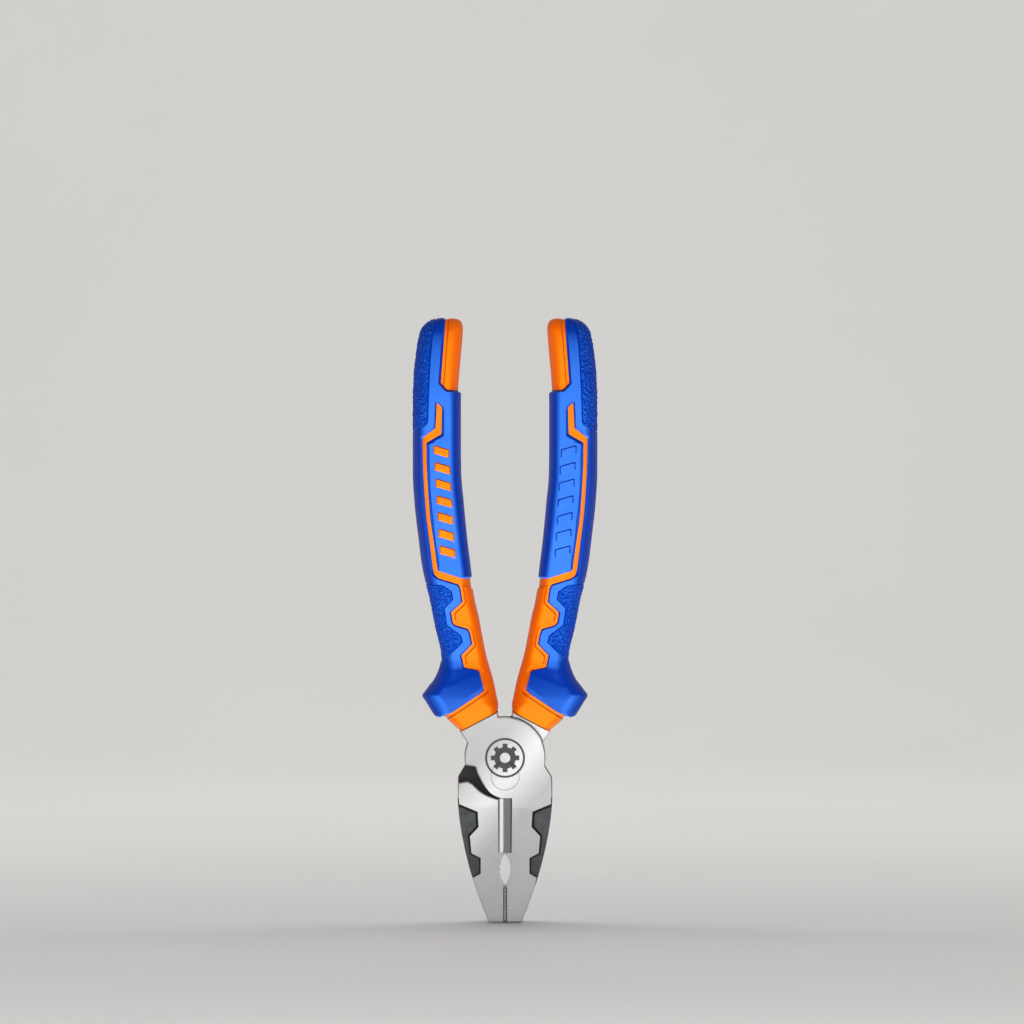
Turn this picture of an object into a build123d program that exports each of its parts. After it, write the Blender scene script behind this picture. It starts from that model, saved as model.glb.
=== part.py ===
"""Lineman (combination) pliers, 200 mm class, with two-colour moulded grips.

Frame: millimetres, +Z up, the jaw tips at Z = 0 and the handles up. +X is to the right and
the front of the tool faces -Y. The jaws are closed.

The tool is two forged levers that cross in a lap joint on one rivet. The front lever has the
left handle, the front half of the round boss and the right jaw. The rear lever is the same
forging turned half a turn about Z. Each tang carries a grip: a hard core, a blue body, an
orange overmould, an end panel, two textured pads and an inlay.
"""

import os
from math import hypot, sqrt

from build123d import *

# Overall
TOOL_LENGTH = 200.0
HALF_THICKNESS = 5.75          # half the thickness of the head
TIP_HALF_THICKNESS = 4.75      # half the thickness of the jaws at their tips
TAPER_TOP = 38.0               # height where the jaws start to get thinner
REACH = 40.0                   # longer than any cut has to be
LAP_HALF_GAP = 0.03            # half the play between the two lap faces
JAW_HALF_GAP = 0.05            # half the play between the closed jaws
EDGE_CHAMFER = 0.4
SAME_PLACE = 0.01              # places closer together than this are the same

# Lap joint: the boss is a disc, and the rivet sits below its middle
BOSS_CENTRE = (0.0, 54.5)
BOSS_RADIUS = 13.4
SEAT_RADIUS = 13.75
PIVOT_HEIGHT = 48.5
RIVET_SHAFT_RADIUS = 3.5
RIVET_HEAD_RADIUS = 4.7
RIVET_HEAD_DEPTH = 2.0
RUNNING_CLEARANCE = 0.05
RIVET_EDGE = 0.15
HUB_RADIUS = 7.35              # underside of the lap, round the rivet
HUB_MARGIN = 0.1               # edges this close round the hub count as the hub's own

# Shank, up to the plane where the grip starts
COLLAR_INNER = (2.3, 69.9)
COLLAR_OUTER = (15.0, 63.3)
SHANK_ROOT = (11.5, 58.0)
SHANK_INNER_END = 62.0         # height, inside the boss, where its inner side ends
SHANK_FILLET = 0.8

# Bite: the clearance in the front half between the boss and the other jaw's cheek
BITE_SIDE = (-20.0, 53.6)
BITE_CORNER = (-9.6, 51.4)
BITE_THROAT = [(-8.15, 47.3), (-6.1, 44.4), (-3.25, 41.91)]
BITE_BOTTOM = 36.0
BITE_FILLET = 0.6

# Jaws
TIP_CORNER = 5.35
TIP_RADIUS = 0.9
JAW_SIDE = [(TIP_CORNER, 0.0), (10.1, 12.6), (13.5, 25.2), (15.4, 37.4), (15.6, 46.1)]
SHOULDER = [(12.3, 46.7), (9.75, 45.26)]
CHEEK = [(15.5, 48.2), (12.6, 53.0)]
CUTTER_BOTTOM = 23.1
CUTTER_TOP = 41.2
CUTTER_HALF_WIDTH = 2.3
CUTTER_LAND = (0.7, 1.2)       # where the steep bevel turns into the edge bevel: across, deep
PIPE_GRIP_BOTTOM = 11.9
PIPE_GRIP_TOP = 22.9
PIPE_GRIP_HALF_WIDTH = 1.75
PIPE_TOOTH_PITCH = 1.9
PIPE_TOOTH_COUNT = 4
PIPE_TOOTH_DEPTH = 0.8
PIPE_TOOTH_HALF_WIDTH = 0.8
PIPE_TOOTH_OVERLAP = 0.2       # how far a tooth gap starts inside the opening
GRIP_BEVEL_WIDTH = 0.6
GRIP_BEVEL_DEPTH = 1.3
SERRATION_PITCH = 1.2
SERRATION_DEPTH = 0.4
SERRATION_HALF_WIDTH = 0.45
SERRATION_COUNT = 9
SERRATION_START = 0.96         # height of the lowest groove
PAST_MIDDLE = -1.0             # cutting outlines start here, across the tool's middle
POCKET_DEPTH = 1.2
POCKET_TAPER = 38.0
POCKET = [(18.5, 40.6), (15.5, 39.4), (9.0, 36.7), (8.6, 31.6), (11.4, 28.5), (10.8, 23.2),
          (7.7, 21.6), (7.6, 16.0), (10.3, 14.4), (18.5, 14.4)]

# Tang inside the grip: height, distance of its middle from the tool's axis, half width
TANG_HALF_THICKNESS = 3.0
TANG = [(74.0, 10.9, 4.0), (90.0, 13.85, 3.6), (101.0, 16.25, 3.3), (117.0, 19.4, 3.2),
        (133.0, 21.4, 3.0), (149.0, 22.7, 2.9), (165.0, 22.7, 2.8)]
TANG_ROOT_INNER = (5.8, 67.6)
TANG_ROOT_OUTER = (11.6, 64.4)
CORE_WALL = 1.0

# Grip: sections across the handle, each from an inner point to an outer point, in
# (distance from the axis, height), with the thickness of the section
GRIP_SECTIONS = [
    ((2.3, 69.9), (15.0, 63.3), 14.5),
    ((2.2, 72.2), (22.0, 67.7), 17.5),
    ((2.9, 75.5), (27.0, 74.2), 19.0),
    ((4.2, 81.5), (24.2, 79.0), 18.0),
    ((5.2, 85.2), (21.6, 84.8), 16.5),
    ((6.4, 90.2), (21.3, 90.0), 15.7),
    ((8.6, 101.2), (23.9, 101.2), 15.5),
    ((11.3, 117.1), (27.3, 117.1), 16.5),
    ((13.3, 133.0), (29.4, 133.0), 17.0),
    ((14.5, 149.0), (30.8, 149.0), 17.2),
    ((14.6, 172.0), (30.8, 172.0), 16.8),
    ((14.6, 185.0), (29.7, 185.0), 15.6),
    ((14.3, 194.0), (28.2, 194.0), 13.6),
    ((14.8, 198.0), (26.0, 198.0), 11.0),
    ((16.5, TOOL_LENGTH), (23.5, TOOL_LENGTH), 7.0),
]
CORNER_SHARE = 0.32            # corner radius of a section, as a share of its thickness
PANEL_DEPTH = 2.0
PAD_DEPTH = 1.5
MARK_HEIGHT = 0.3
MARK_DEPTH = 0.7
CARRIER_DEPTH = 1.5
CARRIER_START = 1.0            # the strip under the bars starts this far up the lowest bar

# Outlines on the grip, seen from the front, in (distance from the axis, height)
ORANGE_PANEL = [
    (-1.0, 60.0), (23.3, 60.0), (23.3, 65.6), (6.6, 76.8), (8.1, 82.5), (8.8, 83.6),
    (13.5, 84.5), (14.4, 88.3), (10.8, 92.0), (12.2, 97.1), (16.3, 98.3), (17.2, 99.1),
    (17.8, 102.5), (14.0, 106.0), (14.7, 110.6), (15.4, 111.8), (22.2, 113.9), (23.6, 115.0),
    (25.4, 127.5), (26.9, 142.4), (27.6, 159.1), (27.4, 160.1), (22.9, 163.3), (22.5, 171.8),
    (20.8, 170.2), (21.0, 161.4), (26.0, 158.5), (25.3, 141.1), (23.8, 127.5), (22.3, 116.8),
    (14.4, 113.8), (-1.0, 113.8)]
COLLAR_BAND = [(-1.0, 60.0), (20.0, 60.0), (20.0, 65.2), (2.3, 74.4), (-1.0, 74.4)]
END_PANEL = [(-1.0, 175.8), (16.2, 175.9), (19.2, 176.1), (21.2, 178.3), (19.9, 195.7),
             (19.5, 205.0), (-1.0, 205.0)]
THUMB_PAD = [(40.0, 158.0), (30.4, 162.2), (25.7, 164.5), (25.3, 166.0), (24.2, 195.3),
             (26.0, 197.6), (40.0, 197.6)]
FINGER_PAD = [(40.0, 87.2), (19.8, 87.2), (13.8, 92.8), (14.4, 94.9), (19.1, 98.5),
              (19.9, 103.9), (17.0, 106.8), (17.4, 109.1), (21.5, 111.4), (40.0, 111.4)]

# Row of slanted bars on the long blue face
BAR_COUNT = 7
BAR_BOTTOM = 120.5
BAR_PITCH = 5.5
BAR_HALF_WIDTH = 2.6
BAR_HEIGHT = 2.8
BAR_SLANT = 1.5
BAR_ROW_START = 19.0           # distance of the lowest bar from the axis
BAR_ROW_LEAN = 0.06            # how far the row moves out for each millimetre up
CARRIER_HALF_WIDTH = 1.5


def half_thickness(height):
    """Half the thickness of the steel head at a height."""
    if height >= TAPER_TOP:
        return HALF_THICKNESS
    return TIP_HALF_THICKNESS + (HALF_THICKNESS - TIP_HALF_THICKNESS) * height / TAPER_TOP


def is_face_edge(edge):
    """True for an outer edge of the head's front or back face, to be broken by a chamfer."""
    ends = [edge.position_at(0), edge.position_at(1)]
    if all(hypot(end.X, end.Z - PIVOT_HEIGHT) < HUB_RADIUS + HUB_MARGIN for end in ends):
        return False
    if ends[0].Y * ends[1].Y < 0:
        return False
    if all(abs(end.Z - TAPER_TOP) < SAME_PLACE for end in ends):
        return False
    return all(abs(abs(end.Y) - half_thickness(end.Z)) < SAME_PLACE for end in ends)


def forging():
    """The front lever without its tang, its bore and the details of its jaw."""
    shank = [COLLAR_INNER, COLLAR_OUTER, SHANK_ROOT, (COLLAR_INNER[0], SHANK_INNER_END)]
    shank_meets_boss = BOSS_CENTRE[1] + sqrt(BOSS_RADIUS ** 2 - COLLAR_INNER[0] ** 2)
    pivot_bottom = PIVOT_HEIGHT - HUB_RADIUS
    with BuildPart() as lever:
        with BuildSketch(Plane.XZ.offset(LAP_HALF_GAP)) as rear_half:
            with BuildLine():
                Spline(JAW_SIDE)
                Polyline(JAW_SIDE[-1], *SHOULDER, (JAW_HALF_GAP, SHOULDER[-1][1]),
                         (JAW_HALF_GAP, 0), JAW_SIDE[0])
            make_face()
            fillet(rear_half.vertices().sort_by_distance((TIP_CORNER, 0))[0], TIP_RADIUS)
            with BuildLine():
                Polyline([(-out, up) for out, up in shank], close=True)
            make_face()
            with Locations(BOSS_CENTRE):
                Circle(SEAT_RADIUS, mode=Mode.SUBTRACT)
        extrude(amount=-(HALF_THICKNESS + LAP_HALF_GAP))
        with BuildSketch(Plane.XZ.offset(LAP_HALF_GAP)) as front_half:
            with BuildLine():
                Spline(JAW_SIDE)
                Polyline(JAW_SIDE[-1], *CHEEK, (JAW_HALF_GAP, CHEEK[-1][1]),
                         (JAW_HALF_GAP, 0), JAW_SIDE[0])
            make_face()
            fillet(front_half.vertices().sort_by_distance((TIP_CORNER, 0))[0], TIP_RADIUS)
            with BuildLine():
                Polyline([(-out, up) for out, up in shank], close=True)
            make_face()
            with Locations(BOSS_CENTRE):
                Circle(BOSS_RADIUS)
            inner_corner = (-COLLAR_INNER[0], shank_meets_boss)
            fillet(front_half.vertices().sort_by_distance(inner_corner)[0], SHANK_FILLET)
            with BuildLine():
                Line(BITE_SIDE, BITE_CORNER)
                ThreePointArc(BITE_CORNER, BITE_THROAT[0], BITE_THROAT[1])
                ThreePointArc(BITE_THROAT[1], BITE_THROAT[2], (JAW_HALF_GAP, pivot_bottom))
                Polyline((JAW_HALF_GAP, pivot_bottom), (JAW_HALF_GAP, BITE_BOTTOM),
                         (BITE_SIDE[0], BITE_BOTTOM), BITE_SIDE)
            make_face(mode=Mode.SUBTRACT)
            fillet(front_half.vertices().sort_by_distance(BITE_CORNER)[0], BITE_FILLET)
        extrude(amount=HALF_THICKNESS - LAP_HALF_GAP)
        with BuildSketch(Plane.YZ):
            with BuildLine():
                Polyline((-HALF_THICKNESS, TOOL_LENGTH), (-HALF_THICKNESS, TAPER_TOP),
                         (-TIP_HALF_THICKNESS, 0), (TIP_HALF_THICKNESS, 0),
                         (HALF_THICKNESS, TAPER_TOP), (HALF_THICKNESS, TOOL_LENGTH),
                         close=True)
            make_face()
        extrude(amount=REACH, both=True, mode=Mode.INTERSECT)
        chamfer(lever.edges().filter_by(is_face_edge), EDGE_CHAMFER)
    return lever.part


def collar_plane():
    """The sloping plane where the grip sits on the shank, facing up the handle."""
    across = Vector(COLLAR_OUTER[0] - COLLAR_INNER[0], 0, COLLAR_INNER[1] - COLLAR_OUTER[1])
    return Plane(origin=(-COLLAR_INNER[0], 0, COLLAR_INNER[1]), x_dir=across,
                 z_dir=across.cross(Vector(0, 1, 0)))


def tang(growth):
    """The tang of the left handle, above the collar, grown by a wall on every side."""
    inner = [(-(middle - half), height) for height, middle, half in TANG]
    outer = [(-(middle + half), height) for height, middle, half in TANG]
    root_inner = (-TANG_ROOT_INNER[0], TANG_ROOT_INNER[1])
    root_outer = (-TANG_ROOT_OUTER[0], TANG_ROOT_OUTER[1])
    with BuildPart() as bar:
        with BuildSketch(Plane.XZ):
            with BuildLine():
                Polyline(root_inner, *inner, *reversed(outer), root_outer, close=True)
            make_face()
            if growth > 0:
                offset(amount=growth, kind=Kind.INTERSECTION)
        extrude(amount=TANG_HALF_THICKNESS + growth, both=True)
        split(bisect_by=collar_plane(), keep=Keep.TOP)
    return bar.part


def lever(shaft_radius, head_radius, head_depth):
    """A whole lever in the front lever's place, bored for the rivet."""
    teeth_middle = (PIPE_GRIP_BOTTOM + PIPE_GRIP_TOP) / 2
    bevel_front = [(PAST_MIDDLE, -REACH), (CUTTER_HALF_WIDTH, -REACH),
                   (CUTTER_HALF_WIDTH, -HALF_THICKNESS), (CUTTER_LAND[0], -CUTTER_LAND[1]),
                   (JAW_HALF_GAP, 0), (PAST_MIDDLE, 0)]
    strip_start = TIP_HALF_THICKNESS - GRIP_BEVEL_DEPTH
    strip_bevel = [(PAST_MIDDLE, -REACH), (JAW_HALF_GAP + GRIP_BEVEL_WIDTH, -REACH),
                   (JAW_HALF_GAP + GRIP_BEVEL_WIDTH, -TIP_HALF_THICKNESS),
                   (JAW_HALF_GAP, -strip_start), (PAST_MIDDLE, -strip_start)]
    with BuildPart() as steel:
        add(forging())
        add(tang(0))
        with BuildSketch(Plane.XY.offset(CUTTER_BOTTOM)):
            with BuildLine():
                Polyline(bevel_front, close=True)
            make_face()
            mirror(about=Plane.XZ)
        extrude(amount=CUTTER_TOP - CUTTER_BOTTOM, mode=Mode.SUBTRACT)
        with BuildSketch(Plane.XY):
            with BuildLine():
                Polyline(strip_bevel, close=True)
            make_face()
            mirror(about=Plane.XZ)
        extrude(amount=PIPE_GRIP_BOTTOM, mode=Mode.SUBTRACT)
        with BuildSketch(Plane.XZ):
            with BuildLine():
                ThreePointArc((JAW_HALF_GAP, PIPE_GRIP_BOTTOM),
                              (PIPE_GRIP_HALF_WIDTH, teeth_middle),
                              (JAW_HALF_GAP, PIPE_GRIP_TOP))
                Polyline((JAW_HALF_GAP, PIPE_GRIP_TOP), (PAST_MIDDLE, PIPE_GRIP_TOP),
                         (PAST_MIDDLE, PIPE_GRIP_BOTTOM), (JAW_HALF_GAP, PIPE_GRIP_BOTTOM))
            make_face()
            for tooth in range(PIPE_TOOTH_COUNT):
                step = tooth - (PIPE_TOOTH_COUNT - 1) / 2
                height = teeth_middle + step * PIPE_TOOTH_PITCH
                bulge = 1 - (2 * (height - teeth_middle) / (PIPE_GRIP_TOP - PIPE_GRIP_BOTTOM)) ** 2
                root = PIPE_GRIP_HALF_WIDTH * bulge
                with BuildLine():
                    Polyline((0, height - PIPE_TOOTH_HALF_WIDTH),
                             (root - PIPE_TOOTH_OVERLAP, height - PIPE_TOOTH_HALF_WIDTH),
                             (root + PIPE_TOOTH_DEPTH, height),
                             (root - PIPE_TOOTH_OVERLAP, height + PIPE_TOOTH_HALF_WIDTH),
                             (0, height + PIPE_TOOTH_HALF_WIDTH), close=True)
                make_face()
            for groove in range(SERRATION_COUNT):
                height = SERRATION_START + SERRATION_PITCH * groove
                with BuildLine():
                    Polyline((0, height - SERRATION_HALF_WIDTH),
                             (JAW_HALF_GAP, height - SERRATION_HALF_WIDTH),
                             (JAW_HALF_GAP + SERRATION_DEPTH, height),
                             (JAW_HALF_GAP, height + SERRATION_HALF_WIDTH),
                             (0, height + SERRATION_HALF_WIDTH), close=True)
                make_face()
        extrude(amount=REACH, both=True, mode=Mode.SUBTRACT)
        for side in (1, -1):
            with BuildSketch(Plane.XZ.offset(side * HALF_THICKNESS)):
                with BuildLine():
                    Polyline(POCKET, close=True)
                make_face()
            extrude(amount=-side * POCKET_DEPTH, taper=POCKET_TAPER, mode=Mode.SUBTRACT)
        with Locations(Plane(origin=(0, -HALF_THICKNESS, PIVOT_HEIGHT), z_dir=(0, -1, 0))):
            CounterBoreHole(shaft_radius, head_radius, head_depth, depth=HALF_THICKNESS)
    return steel.part


def grip_form(growth):
    """The left grip's outer form, grown (or, below zero, shrunk) by an even wall."""
    with BuildPart() as form:
        for inner, outer, thickness in GRIP_SECTIONS:
            across = Vector(outer[0] - inner[0], 0, inner[1] - outer[1])
            middle = (-(inner[0] + outer[0]) / 2, 0, (inner[1] + outer[1]) / 2)
            width = hypot(outer[0] - inner[0], inner[1] - outer[1])
            side = thickness + 2 * growth
            with BuildSketch(Plane(origin=middle, x_dir=across,
                                   z_dir=across.cross(Vector(0, 1, 0)))):
                RectangleRounded(width + 2 * growth, side, CORNER_SHARE * side)
        loft(ruled=True)
        if growth < 0:
            split(bisect_by=Plane.XY.offset(TOOL_LENGTH + growth), keep=Keep.BOTTOM)
    return form.part


def plan_prism(*outlines):
    """A prism right through the left grip over outlines drawn on its front."""
    with BuildPart() as prism:
        with BuildSketch(Plane.XZ):
            for outline in outlines:
                with BuildLine():
                    Polyline([(-out, up) for out, up in outline], close=True)
                make_face()
        extrude(amount=REACH, both=True)
    return prism.part


def bar_outlines():
    """Outlines of the slanted bars, from the lowest up."""
    outlines = []
    for bar in range(BAR_COUNT):
        low = BAR_BOTTOM + bar * BAR_PITCH
        middle = BAR_ROW_START + BAR_ROW_LEAN * (low - BAR_BOTTOM)
        near, far = middle - BAR_HALF_WIDTH, middle + BAR_HALF_WIDTH
        outlines.append([(near, low), (far, low + BAR_SLANT), (far, low + BAR_SLANT + BAR_HEIGHT),
                         (near, low + BAR_HEIGHT)])
    return outlines


def carrier_outline():
    """Outline of the strip that joins the bars of the inlay under the skin."""
    low = BAR_BOTTOM + CARRIER_START
    high = BAR_BOTTOM + (BAR_COUNT - 1) * BAR_PITCH + BAR_HEIGHT
    bottom = BAR_ROW_START
    top = BAR_ROW_START + BAR_ROW_LEAN * (high - low)
    return [(bottom - CARRIER_HALF_WIDTH, low), (bottom + CARRIER_HALF_WIDTH, low),
            (top + CARRIER_HALF_WIDTH, high), (top - CARRIER_HALF_WIDTH, high)]


# Steel levers and rivet
with BuildPart() as front_lever:
    add(lever(RIVET_SHAFT_RADIUS + RUNNING_CLEARANCE, RIVET_HEAD_RADIUS + RUNNING_CLEARANCE,
              RIVET_HEAD_DEPTH + RUNNING_CLEARANCE))

with BuildPart() as rear_lever:
    add(lever(RIVET_SHAFT_RADIUS, RIVET_HEAD_RADIUS, RIVET_HEAD_DEPTH), rotation=(0, 0, 180))

with BuildPart() as pivot_rivet:
    with BuildSketch(Plane.XZ):
        with Locations((0, PIVOT_HEIGHT)):
            Circle(RIVET_SHAFT_RADIUS)
    extrude(amount=HALF_THICKNESS, both=True)
    for side in (1, -1):
        with BuildSketch(Plane.XZ.offset(side * HALF_THICKNESS)):
            with Locations((0, PIVOT_HEIGHT)):
                Circle(RIVET_HEAD_RADIUS)
        extrude(amount=-side * RIVET_HEAD_DEPTH)
    chamfer(pivot_rivet.edges().group_by(Axis.Y)[0] + pivot_rivet.edges().group_by(Axis.Y)[-1],
            RIVET_EDGE)

# Grip pieces, all drawn for the left handle
outer_form = grip_form(0)
core_form = tang(CORE_WALL)
panel_skin_form = grip_form(-PANEL_DEPTH)
pad_skin_form = grip_form(-PAD_DEPTH)
mark_top_form = grip_form(MARK_HEIGHT)
mark_root_form = grip_form(-MARK_DEPTH)
carrier_root_form = grip_form(-CARRIER_DEPTH)

with BuildPart() as grip_core:
    add(core_form)
    add(tang(0), mode=Mode.SUBTRACT)

with BuildPart() as collar_ring:
    add(outer_form)
    add(plan_prism(COLLAR_BAND), mode=Mode.INTERSECT)

with BuildPart() as grip_overmould:
    add(outer_form)
    add(panel_skin_form, mode=Mode.SUBTRACT)
    add(plan_prism(ORANGE_PANEL), mode=Mode.INTERSECT)
    add(collar_ring.part)
    add(core_form, mode=Mode.SUBTRACT)

with BuildPart() as end_panel:
    add(outer_form)
    add(panel_skin_form, mode=Mode.SUBTRACT)
    add(plan_prism(END_PANEL), mode=Mode.INTERSECT)

with BuildPart() as thumb_pad:
    add(outer_form)
    add(pad_skin_form, mode=Mode.SUBTRACT)
    add(plan_prism(THUMB_PAD), mode=Mode.INTERSECT)

with BuildPart() as finger_pad:
    add(outer_form)
    add(pad_skin_form, mode=Mode.SUBTRACT)
    add(plan_prism(FINGER_PAD), mode=Mode.INTERSECT)

with BuildPart() as raised_bars:
    add(mark_top_form)
    add(mark_root_form, mode=Mode.SUBTRACT)
    add(plan_prism(*bar_outlines()), mode=Mode.INTERSECT)

with BuildPart() as grip_inlay:
    add(mark_root_form)
    add(carrier_root_form, mode=Mode.SUBTRACT)
    add(plan_prism(carrier_outline()), mode=Mode.INTERSECT)
    add(raised_bars.part)
    split(bisect_by=Plane.XZ, keep=Keep.TOP)

with BuildPart() as embossed_bars:
    add(raised_bars.part)
    split(bisect_by=Plane.XZ, keep=Keep.BOTTOM)

with BuildPart() as grip_body:
    add(outer_form)
    add(core_form, mode=Mode.SUBTRACT)
    for piece in (grip_overmould, end_panel, thumb_pad, finger_pad, grip_inlay):
        add(piece.part, mode=Mode.SUBTRACT)
    add(embossed_bars.part)

# Write every piece: one file is one node
os.makedirs("parts", exist_ok=True)
steel_pieces = {"front_lever": front_lever, "rear_lever": rear_lever, "pivot_rivet": pivot_rivet}
for name, piece in steel_pieces.items():
    piece.part.label = name
    export_step(piece.part, f"parts/{name}.step")

grip_pieces = {"grip_core": grip_core, "grip_body": grip_body, "grip_overmould": grip_overmould,
               "end_panel": end_panel, "thumb_pad": thumb_pad, "finger_pad": finger_pad,
               "grip_inlay": grip_inlay}
for hand, turn in (("left", 0), ("right", 180)):
    for name, piece in grip_pieces.items():
        with BuildPart() as placed:
            add(piece.part, rotation=(0, 0, turn))
        placed.part.label = f"{hand}_{name}"
        export_step(placed.part, f"parts/{hand}_{name}.step")
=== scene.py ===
"""Lineman pliers: the visual model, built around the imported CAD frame.

The frame is in metres, +Z up, with the jaw tips at Z = 0 and the front facing -Y. The steel
levers and the rivet are the CAD nodes with detailed steel materials. Each grip is rebuilt here
as a sculpted skin. The skin is worked out in millimetres for the left handle, in (out, depth,
up): out is the distance from the tool's axis, depth is Y, and up is Z. The right grip is the
left one turned half a turn about Z.
"""

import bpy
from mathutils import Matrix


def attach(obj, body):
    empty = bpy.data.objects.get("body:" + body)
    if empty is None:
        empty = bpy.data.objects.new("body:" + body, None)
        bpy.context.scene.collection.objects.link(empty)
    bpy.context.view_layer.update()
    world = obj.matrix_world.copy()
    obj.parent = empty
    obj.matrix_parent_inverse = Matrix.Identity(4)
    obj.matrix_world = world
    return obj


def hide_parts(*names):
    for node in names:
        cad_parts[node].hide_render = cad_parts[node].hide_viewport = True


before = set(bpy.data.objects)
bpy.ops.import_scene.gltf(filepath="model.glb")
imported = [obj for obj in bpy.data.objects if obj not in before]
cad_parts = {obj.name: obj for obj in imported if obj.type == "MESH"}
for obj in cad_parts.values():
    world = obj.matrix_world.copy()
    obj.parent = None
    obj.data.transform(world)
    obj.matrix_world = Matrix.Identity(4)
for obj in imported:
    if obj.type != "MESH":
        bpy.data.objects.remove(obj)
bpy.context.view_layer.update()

import math

import bpy
import numpy as np
from mathutils import Vector, noise

MM = 0.001

# ---------------------------------------------------------------------------------------------
# Shape of the grip's skin, in millimetres
# ---------------------------------------------------------------------------------------------

# Sections from the collar to the end: inner edge (out, up), outer edge (out, up), thickness,
# and how much of its inner and outer half is flat
SECTIONS = np.array([
    (2.3, 69.9, 15.0, 63.3, 14.5, 0.62, 0.62),
    (2.1, 71.2, 17.6, 65.5, 16.1, 0.60, 0.58),
    (2.1, 72.3, 20.3, 67.5, 16.5, 0.58, 0.54),
    (2.3, 73.3, 22.9, 68.2, 16.65, 0.56, 0.52),
    (2.5, 74.2, 24.6, 70.4, 16.6, 0.54, 0.50),
    (2.7, 75.1, 26.2, 72.9, 16.5, 0.53, 0.50),
    (2.9, 76.0, 27.4, 75.0, 16.3, 0.52, 0.50),
    (3.1, 77.1, 26.5, 76.4, 16.1, 0.52, 0.50),
    (3.4, 78.5, 25.2, 78.2, 15.8, 0.52, 0.48),
    (3.8, 80.3, 23.6, 80.2, 15.4, 0.52, 0.46),
    (4.4, 82.4, 22.5, 82.4, 14.9, 0.52, 0.44),
    (5.0, 84.5, 21.7, 84.6, 14.3, 0.52, 0.42),
    (5.9, 87.6, 21.1, 87.6, 13.9, 0.52, 0.40),
    (6.5, 90.2, 21.4, 90.2, 14.0, 0.52, 0.40),
    (7.6, 95.9, 22.8, 95.9, 14.6, 0.50, 0.40),
    (8.6, 101.2, 23.9, 101.2, 15.1, 0.50, 0.40),
    (9.9, 106.5, 24.9, 106.5, 15.6, 0.50, 0.40),
    (10.7, 111.8, 26.2, 111.8, 16.0, 0.50, 0.40),
    (11.3, 117.1, 27.4, 117.1, 16.4, 0.50, 0.40),
    (12.6, 127.8, 28.8, 127.8, 16.8, 0.50, 0.40),
    (13.6, 138.4, 30.0, 138.4, 17.0, 0.50, 0.40),
    (14.5, 149.0, 30.6, 149.0, 17.2, 0.50, 0.40),
    (14.6, 160.0, 30.6, 160.0, 17.1, 0.50, 0.40),
    (14.6, 172.0, 30.58, 172.0, 16.8, 0.48, 0.38),
    (14.35, 181.0, 30.3, 181.0, 16.1, 0.42, 0.36),
    (14.0, 188.7, 29.5, 188.7, 15.0, 0.38, 0.34),
    (13.8, 193.5, 28.8, 193.2, 13.9, 0.36, 0.32),
    (13.75, 196.7, 27.7, 196.5, 12.6, 0.34, 0.30),
    (14.15, 198.4, 25.9, 198.5, 11.2, 0.32, 0.28),
    (15.0, 199.45, 23.5, 199.65, 9.4, 0.30, 0.26),
    (16.4, 199.95, 20.9, 199.98, 6.0, 0.25, 0.25),
    (18.7, 200.0, 18.7, 200.0, 0.0, 0.25, 0.25)])

# Outlines on the skin, seen from the front, in (out, up)
ORANGE = [
    (-1.0, 60.0), (23.3, 60.0), (23.3, 65.6), (6.6, 76.8), (8.1, 82.5), (8.8, 83.6),
    (13.5, 84.5), (14.4, 88.3), (10.8, 92.0), (11.5, 95.6), (12.2, 97.1), (16.3, 98.3),
    (17.2, 99.1), (17.8, 102.5), (14.0, 106.0), (14.7, 110.6), (15.4, 111.8), (22.2, 113.9),
    (23.6, 115.0), (24.1, 116.8), (25.4, 127.5), (26.2, 133.3), (26.9, 142.4), (27.4, 151.3),
    (27.6, 159.1), (27.4, 160.1), (22.9, 163.3), (22.5, 171.8), (20.8, 170.2), (21.0, 161.4),
    (26.0, 158.5), (25.9, 151.3), (25.3, 141.1), (24.7, 133.3), (23.8, 127.5), (22.3, 116.8),
    (22.0, 116.2), (14.4, 113.8), (-1.0, 113.8)]
END_PANEL = [(-1.0, 175.8), (16.2, 175.9), (19.2, 176.1), (21.2, 178.3), (19.9, 195.7),
             (19.5, 205.0), (-1.0, 205.0)]
THUMB_PAD = [(40.0, 158.0), (30.4, 162.2), (25.9, 164.2), (25.3, 165.6), (25.0, 176.0),
             (24.6, 184.3), (23.9, 193.0), (22.9, 198.0), (22.0, 205.0), (40.0, 205.0)]
FINGER_PAD = [(40.0, 86.4), (20.2, 86.4), (13.9, 92.6), (14.4, 94.9), (19.1, 98.5),
              (19.9, 103.9), (17.0, 106.8), (17.5, 109.6), (20.6, 111.6), (40.0, 113.6)]
PLATEAU = [(-5.0, 113.8), (14.4, 113.8), (22.3, 116.8), (23.8, 127.5), (25.3, 141.1),
           (26.0, 158.5), (21.0, 161.4), (20.8, 170.2), (20.8, 230.0), (-5.0, 230.0)]
PANEL_TOP = ((10.7, 110.6), (14.7, 112.0))      # where the orange panel's raised field ends
GUARD_FOOT = ((6.6, 76.8), (23.3, 65.6))        # lower edge of the blue guard
GUARD_RIDGE = ((8.6, 82.4), (20.8, 77.2))       # crest of the guard
END_STEP = ((20.3, 178.6), (19.0, 195.7))       # the end panel is raised inward of this

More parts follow.
